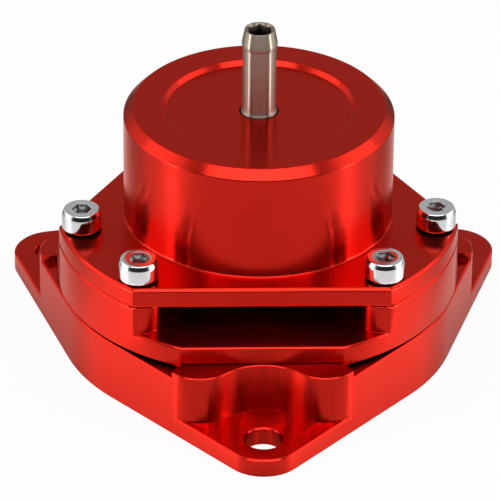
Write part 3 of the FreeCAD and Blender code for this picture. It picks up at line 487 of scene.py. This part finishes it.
@dataclass
class Cap:
    """The red cap: a turned housing with a dished top, on a flange with three milled flats."""

    maker: Maker
    bore: float = 19.5
    joint: float = 20.6
    flange: float = 35.5
    flat: float = 27.695
    flange_top: float = FLANGE_TOP
    relief: float = 0.3
    bevel: float = 0.5
    wall: float = 23.7
    foot: float = 0.5
    foot_points: int = 9
    top: float = 45.0
    top_bevel: float = 1.6
    dish: float = 16.95
    dish_bevel: float = 0.8
    dish_floor: float = DISH_FLOOR
    recess: tuple[float, float] = (3.4, 42.6)
    thread: float = 2.5
    boss: tuple[float, float] = (SPRING_BOSS, BOSS_LOW)
    roof: float = ROOF
    edge: float = 0.15
    side_points: int = 60

    def profile(self) -> np.ndarray:
        """Draw the closed profile, up the outside and back down the bore. The fillet at the wall's foot is a
        quarter circle.

        Returns:
            Rows of radius and height.
        """
        bend = np.linspace(-np.pi / 2, -np.pi, self.foot_points)[:, None]
        fillet = np.hstack([self.wall + self.foot + self.foot * np.cos(bend),
                            self.flange_top + self.foot + self.foot * np.sin(bend)])
        return np.concatenate([
            [(self.bore, self.joint), (self.flange - self.relief, self.joint),
             (self.flange, self.joint + self.relief), (self.flange, self.flange_top - self.bevel),
             (self.flange - self.bevel, self.flange_top)],
            fillet,
            [(self.wall, self.top - self.top_bevel), (self.wall - self.top_bevel, self.top),
             (self.dish, self.top), (self.dish - self.dish_bevel, self.dish_floor),
             (self.recess[0], self.dish_floor), self.recess, (self.thread, self.recess[1]),
             (self.thread, self.boss[1]), self.boss, (self.boss[0], self.roof), (self.bore, self.roof)]])

    def build(self) -> None:
        """Carry the profile round the axis.

        Wherever it reaches the flange's rim, its radius at an angle is the lesser of the round's and the
        flat's: the flat's distance over the cosine of the angle from its middle. Each third of a row has a
        flat and an arc with as many points each, which meet exactly at the flat's end.
        """
        radius, height = self.profile().T
        rim = radius > self.flat
        flat = np.where(rim, radius - self.flange + self.flat, self.flat)
        end = np.arccos(np.where(rim, flat / radius, self.flat / self.flange))[:, None]
        share = np.arange(self.side_points)[None] / self.side_points
        third_turn = 2 * np.pi / 3
        third = np.hstack([end * (2 * share - 1), end + (third_turn - 2 * end) * share])
        angles = np.hstack([third - np.pi / 2 + third_turn * turn for turn in range(3)])
        level = np.tile(flat[:, None] / np.cos(third), 3)
        reach = np.where(rim[:, None] & (np.tile(np.abs(third) <= end, 3)), level, radius[:, None])
        grid = np.stack([reach * np.cos(angles), reach * np.sin(angles),
                         np.repeat(height[:, None], angles.shape[1], 1)], -1)
        piece = build_mesh("top_cap_turned", grid, closed=True)
        break_edges(piece, self.edge)
        self.maker.dress(piece, RED, "top_cap", "housing", "red_aluminium")


@dataclass
class Housing:
    """The red milled pieces: base and valve body.

    The undercut is a distance inwards and one upwards. The bands are the margins within which a point counts
    as on the body's round side, on one of its flats, or at a height.
    """

    maker: Maker
    edge: float = 0.22
    weld: float = 0.0005
    seat: float = 11.0
    foot: float = 35.05
    foot_height: float = 0.45
    flat: float = 32.6
    undercut: tuple[float, float] = (1.2, 0.4)
    round_band: float = 0.3
    flat_band: float = 0.5
    level_band: float = 0.01

    def build(self, nodes: dict[str, Piece]) -> None:
        """Make each piece from a merged copy of its CAD node, with its edges broken. The body's foot is cut
        back further, which leaves the dark gap round its joint with the base.

        Args:
            nodes: The CAD nodes by name.
        """
        for node in ("base_flange", "valve_body"):
            piece = self.merged(nodes[node], node + "_machined")
            if node == "valve_body":
                self.cut_back(piece.data)
            break_edges(piece, self.edge)
            self.maker.dress(piece, RED, node, "housing", "red_aluminium")

    def cut_back(self, mesh: bpy.types.Mesh) -> None:
        """Move the lowest ring of the outline inwards and the ring above it up, on the round sides only.

        A point is on a round side if its radius is about the foot's or more, and if it reaches less far than
        a flat along the direction of each of the three flats.

        Args:
            mesh: The body's mesh.
        """
        points = np.empty(len(mesh.vertices) * 3)
        mesh.vertices.foreach_get("co", points)
        points = points.reshape(-1, 3) / MM
        ways = turns_of(3) - np.pi / 2
        reach = (points[:, :2] @ np.stack([np.cos(ways), np.sin(ways)])).max(1)
        outer = np.hypot(*points[:, :2].T) > self.foot - self.round_band
        rim = outer & (reach < self.flat - self.flat_band)
        height = points[:, 2] - self.seat
        lowest = rim & (height < self.level_band)
        above = rim & (np.abs(height - self.foot_height) < self.level_band)
        inward, upward = self.undercut
        points[lowest, :2] *= 1 - inward / self.foot
        points[above, 2] += upward
        mesh.vertices.foreach_set("co", (points * MM).ravel())
        mesh.update()

    def merged(self, source: Piece, name: str) -> Piece:
        """Merge a copy of a CAD node's triangles into whole faces.

        Args:
            source: The CAD node.
            name: The new piece's name.

        Returns:
            The new piece.
        """
        mesh = source.data.copy()
        mesh.name = name
        shape = bmesh.new()
        shape.from_mesh(mesh)
        bmesh.ops.remove_doubles(shape, verts=shape.verts, dist=self.weld * MM)
        bmesh.ops.dissolve_limit(shape, angle_limit=math.radians(FLAT_ANGLE), verts=shape.verts,
                                 edges=shape.edges)
        shape.to_mesh(mesh)
        shape.free()
        return finish_mesh(name, mesh)


@dataclass
class CapScrews:
    """Six bright socket head screws on the flange of the cap.

    Pairs of sizes are a distance inwards and one along the axis. In order: the small slope round the head's
    lower face, the head's rounded lower edge, its sloped shoulder, the step down into the socket's mouth, and
    the drilled hollow in the socket's floor, with its radius first.
    """

    maker: Maker
    head: float = 3.5
    rise: float = 4.0
    face: tuple[float, float] = (0.1, 0.12)
    heel: tuple[float, float] = (0.5, 0.42)
    shoulder: tuple[float, float] = (0.42, 0.95)
    mouth: float = 2.2
    step: tuple[float, float] = (0.1, 0.06)
    lead: float = 0.1
    lead_slope: float = 0.15
    flats: float = 3.0
    socket_depth: float = 2.2
    drill: tuple[float, float] = (1.0, 0.35)
    shank: float = 2.0
    length: float = 12.0
    tip: float = 0.4
    core: float = 1.2
    circle: float = 31.75
    seat: float = FLANGE_TOP
    spread: float = 18.0
    first_turn: float = 0.4
    turn_step: float = 1.1
    points: int = 96

    def grid(self) -> np.ndarray:
        """Draw one screw about its own axis, with its head standing on height 0.

        The outside is a rounded profile turned about the axis. In the socket the radius is that of a
        hexagon, and its upper edge follows the cone that leads into it: its height falls with the gap
        between the radius of the hexagon's corners and its own.

        Returns:
            Points, row by angle by three.
        """
        drawn_in, heel_top = self.heel
        face_in, face_up = self.face
        outside = lathe(rounded([
            (self.core, -self.length, 0), (self.shank - self.tip, -self.length, 0.1),
            (self.shank, self.tip - self.length, 0.1), (self.shank, 0, 0),
            (self.head - drawn_in - face_in, 0, 0.05), (self.head - drawn_in, face_up, 0.05),
            (self.head, heel_top, 0.4), (self.head, self.rise, 0)], closed=False)[:-1], self.points)
        inward, down = self.shoulder
        step_in, step_down = self.step
        top = lathe(rounded([
            (self.head, 0, 0), (self.head, self.rise - down, 0.3), (self.head - inward, self.rise, 0.25),
            (self.mouth, self.rise, 0.06), (self.mouth - step_in, self.rise - step_down, 0),
            (self.mouth - 2 * step_in, self.rise - step_down, 0)], closed=False, steps=7)[1:], self.points)
        hexagon = hexagon_radius(turns_of(self.points), self.flats)[None]
        cone = self.rise - self.lead - (self.flats / math.sqrt(3) - hexagon) * self.lead_slope
        floor = np.full_like(hexagon, self.rise - self.socket_depth)
        drilled, drill_depth = self.drill
        socket = ring_rows(np.concatenate([hexagon, hexagon, np.full_like(hexagon, drilled)]),
                           np.concatenate([cone, floor, floor - drill_depth]))
        return np.concatenate([outside, top, socket])

    def build(self) -> None:
        """Make the six screws in their places, two at each ear, each turned another way about its axis."""
        grid = self.grid()
        for number in range(6):
            ear, side = divmod(number, 2)
            angle = math.radians(90 + 120 * ear + (2 * side - 1) * self.spread)
            place = np.array([self.circle * math.cos(angle), self.circle * math.sin(angle), self.seat])
            turn = self.first_turn + self.turn_step * number
            spin = np.array([[math.cos(turn), math.sin(turn), 0],
                             [-math.sin(turn), math.cos(turn), 0],
                             [0, 0, 1]])
            piece = build_mesh(f"cap_screw_{number + 1}_plated", grid @ spin + place, closed=False)
            self.maker.dress(piece, BRIGHT, f"cap_screw_{number + 1}", "housing", "bright_steel")


@dataclass
class BodyScrews:
    """Three countersunk screws that hold the body to the base from below."""

    maker: Maker
    head: float = 4.6
    mouth: float = 1.95
    lead: float = 0.12
    flats: float = 3.0
    socket_depth: float = 1.8
    shank: float = 2.5
    length: float = 16.0
    tip: float = 0.4
    circle: float = 27.5
    sink: float = 0.2
    points: int = 72

    def grid(self) -> np.ndarray:
        """Draw one screw about its own axis, with its socket opening downwards at height 0.

        Returns:
            Points, row by angle by three.
        """
        hexagon = hexagon_radius(turns_of(self.points), self.flats)[None]
        socket = ring_rows(np.concatenate([hexagon, hexagon]),
                           np.concatenate([np.full_like(hexagon, self.socket_depth),
                                           np.full_like(hexagon, self.lead)]))
        outside = lathe(rounded([
            (self.mouth, 0, 0), (self.head, 0, 0.12), (self.shank, self.head - self.shank, 0.1),
            (self.shank, self.length - self.tip, 0.1), (self.shank - self.tip, self.length, 0)],
            closed=False), self.points)
        return np.concatenate([socket, outside])

    def build(self) -> None:
        """Make the three screws in their places."""
        grid = self.grid()
        for number in range(3):
            angle = math.radians(90 + 120 * number)
            place = np.array([self.circle * math.cos(angle), self.circle * math.sin(angle), self.sink])
            piece = build_mesh(f"body_screw_{number + 1}_black", grid + place, closed=False)
            self.maker.dress(piece, DARK, f"body_screw_{number + 1}", "housing", "dark_steel")


@dataclass
class Nipple:
    """The barbed nipple with a hexagon mouth.

    The fillet at the shank's foot has its reach inwards and its reach upwards. The groove below the barb has
    its depth, its width and the height of its lower side. The barb's ridge falls by its first size over twice
    its second.
    """

    maker: Maker
    low: float = BOSS_LOW
    thread: float = 2.46
    bore: float = 1.4
    dish: float = DISH_FLOOR
    foot: float = 3.18
    foot_low: float = 43.5
    foot_side: float = 0.2
    foot_height: float = 0.5
    fillet: tuple[float, float] = (0.1, 0.5)
    shank: float = 2.92
    height: float = 16.1
    groove: tuple[float, float, float] = (0.1, 0.14, 0.06)
    barb: float = 3.14
    barb_height: float = 2.6
    barb_back: float = 0.65
    barb_lean: float = 0.1
    ridge: tuple[float, float] = (0.02, 0.12)
    mouth: float = 2.64
    lip: float = 2.4
    lead_slope: float = 1.1
    flats: float = 3.9
    socket_depth: float = 6.0
    drill_depth: float = 0.4
    points: int = 144

    def build(self) -> None:
        """Make the nipple: a turned outside, and a mouth whose hexagon cuts wavy arcs into its cone, because
        the hexagon's upper edge is lower where its radius is smaller."""
        top = self.dish + self.height
        ridge = top - self.barb_height
        neck = ridge - self.barb_back
        foot_top = self.dish + self.foot_height
        fillet_in, fillet_up = self.fillet
        deep, wide, side = self.groove
        fall, half = self.ridge
        outside = lathe(rounded([
            (self.bore, self.low, 0), (self.thread, self.low, 0.2), (self.thread, self.foot_low, 0.05),
            (self.foot, self.foot_low, 0.05), (self.foot, self.dish + self.foot_side, 0.14),
            (self.shank + fillet_in, foot_top - fillet_in, 0.12), (self.shank, foot_top + fillet_up, 0.3),
            (self.shank, neck - wide, 0), (self.shank - deep, neck - wide + side, 0.04),
            (self.shank - deep, neck, 0), (self.barb - self.barb_lean, neck, 0.03),
            (self.barb, ridge - half, 0.3), (self.barb - fall, ridge + half, 0.3),
            (self.mouth, top, 0.16), (self.lip, top, 0)], closed=False), self.points)
        hexagon = hexagon_radius(turns_of(self.points), self.flats)[None]
        floor = np.full_like(hexagon, top - self.socket_depth)
        inside = ring_rows(np.concatenate([hexagon, hexagon, np.full_like(hexagon, self.bore)]),
                           np.concatenate([top - (self.lip - hexagon) * self.lead_slope, floor,
                                           floor - self.drill_depth]))
        piece = build_mesh("vacuum_nipple_turned", np.concatenate([outside, inside]), closed=True)
        self.maker.dress(piece, NICKEL, "vacuum_nipple", "housing", "nickel_brass")


class Seal(NamedTuple):
    """A rubber ring: its CAD node, the radius of the circle that its section runs on, the section's radius,
    the height of its middle, and the body that it rides on."""

    node: str
    circle: float
    section: float
    height: float
    body: str


@dataclass
class Rings:
    """Rubber rings of round section, and the flat guide band with its two radii and two heights."""

    maker: Maker
    seals: tuple[Seal, ...] = (
        Seal("base_seal", 18.6, 0.9, 0.92, "housing"),
        Seal("body_seal", 18.6, 0.9, 10.08, "housing"),
        Seal("nipple_seal", 2.95, 0.43, 43.05, "housing"),
        Seal("piston_seal", 18.56, 0.9, 30.5, "piston_group"),
        Seal("seat_seal", 17.2, 0.7, 16.3, "piston_group"))
    band_radii: tuple[float, float] = (18.26, 19.46)
    band_heights: tuple[float, float] = (23.3, 26.3)
    points: int = 144
    section_points: int = 20

    def ring(self, seal: Seal) -> None:
        """Make a ring: a circle of the section's radius carried round the axis.

        Args:
            seal: The ring's sizes.
        """
        around = turns_of(self.section_points)
        profile = np.stack([seal.circle + seal.section * np.cos(around),
                            seal.height + seal.section * np.sin(around)], -1)
        piece = build_mesh(seal.node + "_rubber", lathe(profile, self.points), closed=True)
        self.maker.dress(piece, RUBBER, seal.node, seal.body, "rubber")

    def build(self) -> None:
        """Make the five rings, and the guide band by turning its rounded section about the axis."""
        for seal in self.seals:
            self.ring(seal)
        inner, outer = self.band_radii
        low, high = self.band_heights
        band = rounded([(inner, low, 0.1), (outer, low, 0.15), (outer, high, 0.15), (inner, high, 0.1)],
                       closed=True)
        piece = build_mesh("piston_guide_band_turned", lathe(band, self.points), closed=True)
        self.maker.dress(piece, PLASTIC, "piston_guide_band", "piston_group", "guide_plastic")


@dataclass
class Piston:
    """The black piston behind the windows.

    A groove in its side has its lowest and highest height and the radius of its floor. The groove in its face
    has its inner and outer radius and the height of its floor.
    """

    maker: Maker
    outer: float = 19.42
    inner: float = 15.82
    floor: float = 15.5
    web: float = 18.5
    rim: float = 33.9
    bevel: float = 0.4
    nose: float = 12.5
    nose_end: float = 13.9
    nose_draft: float = 1.2
    face_groove: tuple[float, float, float] = (16.25, 18.15, 17.04)
    guide_groove: tuple[float, float, float] = (23.26, 26.34, 18.22)
    seal_groove: tuple[float, float, float] = (29.3, 31.7, 17.62)
    boss: float = SPRING_BOSS
    boss_top: float = 20.3
    centre: float = 0.5
    points: int = 144

    def build(self) -> None:
        """Make the piston by turning its profile, grooves included, about the axis."""
        groove_in, groove_out, groove_top = self.face_groove
        corners = [
            (self.centre, self.nose_end, 0), (self.nose - self.nose_draft, self.nose_end, 0.4),
            (self.nose, self.floor, 0.2), (groove_in, self.floor, 0.05), (groove_in, groove_top, 0.05),
            (groove_out, groove_top, 0.05), (groove_out, self.floor, 0.05),
            (self.outer - self.bevel, self.floor, 0.1), (self.outer, self.floor + self.bevel, 0.1)]
        for low, high, deep in (self.guide_groove, self.seal_groove):
            corners += [(self.outer, low, 0.05), (deep, low, 0.05), (deep, high, 0.05),
                        (self.outer, high, 0.05)]
        corners += [
            (self.outer, self.rim - self.bevel, 0.1), (self.outer - self.bevel, self.rim, 0.1),
            (self.inner, self.rim, 0.3), (self.inner, self.web, 0.8), (self.boss, self.web, 0.1),
            (self.boss, self.boss_top, 0.3), (self.centre, self.boss_top, 0)]
        profile = rounded(corners, closed=False, steps=4)
        piece = build_mesh("piston_turned", lathe(profile, self.points), closed=False)
        self.maker.dress(piece, BLACK, "piston", "piston_group", "black_aluminium")


@dataclass
class Spring:
    """The return spring between piston and cap."""

    maker: Maker
    radius: float = 11.4
    wire: float = 1.8
    low: float = 18.55
    high: float = 40.95
    turns: float = 6.0
    level_turns: float = 0.4
    lift: float = 7.0
    roof: float = ROOF
    points: int = 360
    section_points: int = 14

    def build(self) -> None:
        """Make the coil: a circle of the wire's radius carried along a helix, whose height stays level over
        part of the first and the last turn, with both ends closed and ground flat."""
        path = np.linspace(0, 1, self.points)
        turn = path * self.turns * 2 * np.pi
        climb = np.clip((path * self.turns - self.level_turns) / (self.turns - 2 * self.level_turns), 0, 1)
        middle = self.low + self.wire / 2 + (self.high - self.low - self.wire) * climb
        around = turns_of(self.section_points)[None]
        out = self.radius + self.wire / 2 * np.cos(around)
        height = np.clip(middle[:, None] + self.wire / 2 * np.sin(around), self.low, self.high)
        grid = np.stack([out * np.cos(turn[:, None]), out * np.sin(turn[:, None]), height], -1)
        piece = build_mesh("return_spring_coiled", grid[:, ::-1], closed=False)
        self.maker.dress(piece, WIRE, "return_spring", "housing", "spring_steel")
        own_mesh(piece)


# Studio

# The photograph's width in pixels, and the width of the camera's sensor in millimetres
PHOTO_WIDTH = 500
SENSOR = 36.0


class SoftBox(NamedTuple):
    """A lamp with a flat bright face: its middle, width and height in metres, and how bright the face looks,
    where 1 is white."""

    name: str
    place: tuple[float, float, float]
    width: float
    height: float
    radiance: float


@dataclass
class Studio:
    """Floor, soft lights and the camera of the photograph.

    The focal length is in pixels and the angles are in degrees. The camera's nearest and farthest distance,
    half the floor's width and the point that the lamps face are in metres. The ramps say how bright the floor
    and the room look in metal. The floor's run over metres, and the room's over one coordinate of the
    direction looked in.
    """

    focal: float = 4961.6
    distance: float = 880.5
    elevation: float = 30.884
    azimuth: float = -1.780
    roll: float = 0.580
    aim: tuple[float, float, float] = (-1.330, 0.0, 15.654)
    near_and_far: tuple[float, float] = (0.05, 20.0)
    floor_half: float = 3.0
    floor_drop: float = 0.02
    floor_shade: float = 12.0
    paper: float = 0.8
    floor_white: float = 0.93
    sheen: float = 0.4
    sheen_roughness: float = 0.25
    floor_depth: Ramp = Ramp(0.05, 0.2, 0.71, 0.12)
    floor_behind: Ramp = Ramp(-0.03, 0.0, 0.0, 0.55)
    floor_aside: Ramp = Ramp(0.045, 0.08, 0.0, 1.0)
    room_sides: Ramp = Ramp(0.55, 0.82, 0.54, 1.35)
    room_front: Ramp = Ramp(-0.62, -0.32, 0.04, 1.0)
    room_top: Ramp = Ramp(0.84, 0.9, 0.0, 1.5)
    room_top_front: Ramp = Ramp(0.0, 0.35, 1.0, 0.0)
    side_boxes: tuple[SoftBox, ...] = (
        SoftBox("side_box", (0.6, 0.02, 0.27), 0.45, 0.5, 1.0),
        SoftBox("strip_box", (0.59, -0.18, 0.045), 0.1, 0.09, 24.0))
    top_box: SoftBox = SoftBox("top_box", (0.0, -0.32, 0.55), 0.8, 0.2, 3.6)
    lamps_face: tuple[float, float, float] = (0.0, 0.0, 0.02)

    def camera(self) -> None:
        """Place the camera where the photograph was taken from."""
        up, swing, roll = (math.radians(a) for a in (self.elevation, self.azimuth, self.roll))
        back = Vector((math.sin(swing) * math.cos(up), -math.cos(swing) * math.cos(up), math.sin(up)))
        right = Vector((math.cos(swing), math.sin(swing), 0))
        over = back.cross(right)
        across = right * math.cos(roll) + over * math.sin(roll)
        upward = over * math.cos(roll) - right * math.sin(roll)
        data = bpy.data.cameras.new("camera")
        data.sensor_width = SENSOR
        data.lens = self.focal * SENSOR / PHOTO_WIDTH
        data.clip_start, data.clip_end = self.near_and_far
        camera = bpy.data.objects.new("camera", data)
        place = (Vector(self.aim) + back * self.distance) * MM
        turn = Matrix((across, upward, back)).transposed().to_4x4()
        camera.matrix_world = Matrix.Translation(place) @ turn
        bpy.context.scene.collection.objects.link(camera)
        bpy.context.scene.camera = camera

    def lamp(self, box: SoftBox, name: str, side: int = 1) -> None:
        """Hang a soft box that faces the valve.

        Args:
            box: The soft box.
            name: The lamp's name.
            side: 1 to hang it in its own place, or -1 on the other side of the valve.
        """
        across, along, up = box.place
        place = Vector((side * across, along, up))
        data = bpy.data.lights.new(name, "AREA")
        data.shape = "RECTANGLE"
        data.size, data.size_y = box.width, box.height
        data.energy = box.radiance * math.pi * box.width * box.height
        lamp = bpy.data.objects.new(name, data)
        lamp.location = place
        lamp.rotation_euler = (Vector(self.lamps_face) - place).to_track_quat("-Z", "Y").to_euler()
        lamp.visible_camera = False
        bpy.context.scene.collection.objects.link(lamp)

    def floor_glow(self, tree: Tree) -> Socket:
        """Work out how bright the floor looks in metal: bright in front of the valve and beside it, dim far
        behind, dark behind it at the sides, and dark where the valve stands.

        Args:
            tree: The floor's node tree.

        Returns:
            The brightness.
        """
        smooth = {"interpolation_type": "SMOOTHSTEP"}
        near = add_node(tree, "ShaderNodeAmbientOcclusion", {"Distance": self.floor_shade * MM}).outputs["AO"]
        place = add_node(tree, "ShaderNodeTexCoord").outputs["Object"]
        axes = add_node(tree, "ShaderNodeSeparateXYZ", {0: place}).outputs
        across = add_node(tree, "ShaderNodeMath", {0: axes["X"]}, operation="ABSOLUTE").outputs[0]
        behind = add_node(tree, "ShaderNodeMapRange", self.floor_behind.sockets(axes["Y"]), **smooth)
        aside = add_node(tree, "ShaderNodeMapRange", self.floor_aside.sockets(across), **smooth)
        depth = add_node(tree, "ShaderNodeMapRange", self.floor_depth.sockets(axes["Y"]), **smooth)
        dark = add_node(tree, "ShaderNodeMath", {0: behind.outputs[0], 1: aside.outputs[0]},
                        operation="MULTIPLY").outputs[0]
        light = add_node(tree, "ShaderNodeMath", {0: depth.outputs[0], 1: dark}, operation="SUBTRACT",
                         use_clamp=True).outputs[0]
        return add_node(tree, "ShaderNodeMath", {0: near, 1: light}, operation="MULTIPLY").outputs[0]

    def floor(self) -> None:
        """Lay the floor. The camera sees it white with a soft shadow, metal sees its glow and a sheen of the
        lamps, and it lights the valve as white paper does."""
        half, low = self.floor_half, -self.floor_drop * MM
        mesh = bpy.data.meshes.new("floor")
        mesh.from_pydata([(-half, -half, low), (half, -half, low), (half, half, low), (-half, half, low)],
                         [], [(0, 1, 2, 3)])
        material = bpy.data.materials.new("white_floor")
        material.use_nodes = True
        tree = material.node_tree
        tree.nodes.clear()
        path = add_node(tree, "ShaderNodeLightPath").outputs
        paper = add_node(tree, "ShaderNodeBsdfDiffuse", {"Color": (self.paper,) * 3 + (1,)})
        white = add_node(tree, "ShaderNodeEmission", {"Strength": 1.0})
        seen = add_node(tree, "ShaderNodeMixShader", {0: self.floor_white, 1: paper.outputs[0],
                                                      2: white.outputs[0]})
        glow = add_node(tree, "ShaderNodeEmission", {"Strength": self.floor_glow(tree)})
        sheen = add_node(tree, "ShaderNodeBsdfGlossy", {"Color": (self.sheen,) * 3 + (1,),
                                                        "Roughness": self.sheen_roughness})
        shiny = add_node(tree, "ShaderNodeAddShader", {0: glow.outputs[0], 1: sheen.outputs[0]})
        first = add_node(tree, "ShaderNodeMixShader", {0: path["Is Glossy Ray"], 1: paper.outputs[0],
                                                       2: shiny.outputs[0]})
        last = add_node(tree, "ShaderNodeMixShader", {0: path["Is Camera Ray"], 1: first.outputs[0],
                                                      2: seen.outputs[0]})
        add_node(tree, "ShaderNodeOutputMaterial", {"Surface": last.outputs[0]})
        mesh.materials.append(material)
        floor = bpy.data.objects.new("floor", mesh)
        bpy.context.scene.collection.objects.link(floor)

    def world(self) -> None:
        """Make the room: white where the camera sees it. In metal it is grey behind the valve, bright at the
        sides and overhead, and dark in front, on the camera's side."""
        world = bpy.data.worlds.new("room")
        bpy.context.scene.world = world
        world.use_nodes = True
        tree = world.node_tree
        tree.nodes.clear()
        smooth = {"interpolation_type": "SMOOTHSTEP"}
        path = add_node(tree, "ShaderNodeLightPath").outputs
        way = add_node(tree, "ShaderNodeTexCoord").outputs["Generated"]
        axes = add_node(tree, "ShaderNodeSeparateXYZ", {0: way}).outputs
        across = add_node(tree, "ShaderNodeMath", {0: axes["X"]}, operation="ABSOLUTE").outputs[0]
        sides = add_node(tree, "ShaderNodeMapRange", self.room_sides.sockets(across), **smooth)
        front = add_node(tree, "ShaderNodeMapRange", self.room_front.sockets(axes["Y"]), **smooth)
        top = add_node(tree, "ShaderNodeMapRange", self.room_top.sockets(axes["Z"]), **smooth)
        top_front = add_node(tree, "ShaderNodeMapRange", self.room_top_front.sockets(axes["Y"]), **smooth)
        over = add_node(tree, "ShaderNodeMath", {0: top.outputs[0], 1: top_front.outputs[0]},
                        operation="MULTIPLY").outputs[0]
        low = add_node(tree, "ShaderNodeMath", {0: sides.outputs[0], 1: front.outputs[0]},
                       operation="MULTIPLY").outputs[0]
        total = add_node(tree, "ShaderNodeMath", {0: low, 1: over}, operation="MAXIMUM").outputs[0]
        room = add_node(tree, "ShaderNodeBackground", {"Strength": total})
        white = add_node(tree, "ShaderNodeBackground", {"Color": (1, 1, 1, 1)})
        mixed = add_node(tree, "ShaderNodeMixShader", {0: path["Is Camera Ray"], 1: room.outputs[0],
                                                       2: white.outputs[0]})
        add_node(tree, "ShaderNodeOutputWorld", {"Surface": mixed.outputs[0]})

    def build(self) -> None:
        """Set up the whole studio."""
        self.camera()
        self.floor()
        self.world()
        for side in (-1, 1):
            for box in self.side_boxes:
                self.lamp(box, f"{box.name}_{side + 1}", side)
        self.lamp(self.top_box, self.top_box.name)
        bpy.context.scene.view_settings.view_transform = "Standard"


def corners(bounds: tuple[Vector, Vector]) -> list[list[float]]:
    """Return a box as plain lists of numbers."""
    return [list(corner) for corner in bounds]


def main() -> None:
    """Build the valve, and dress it."""
    logging.basicConfig(level=logging.INFO, format="%(name)s %(message)s")
    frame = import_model()
    Studio().build()
    maker = Maker()
    Housing(maker).build(frame["nodes"])
    for assembly in (Cap, CapScrews, BodyScrews, Nipple, Rings, Piston, Spring):
        assembly(maker).build()


if __name__ == "__main__":
    main()
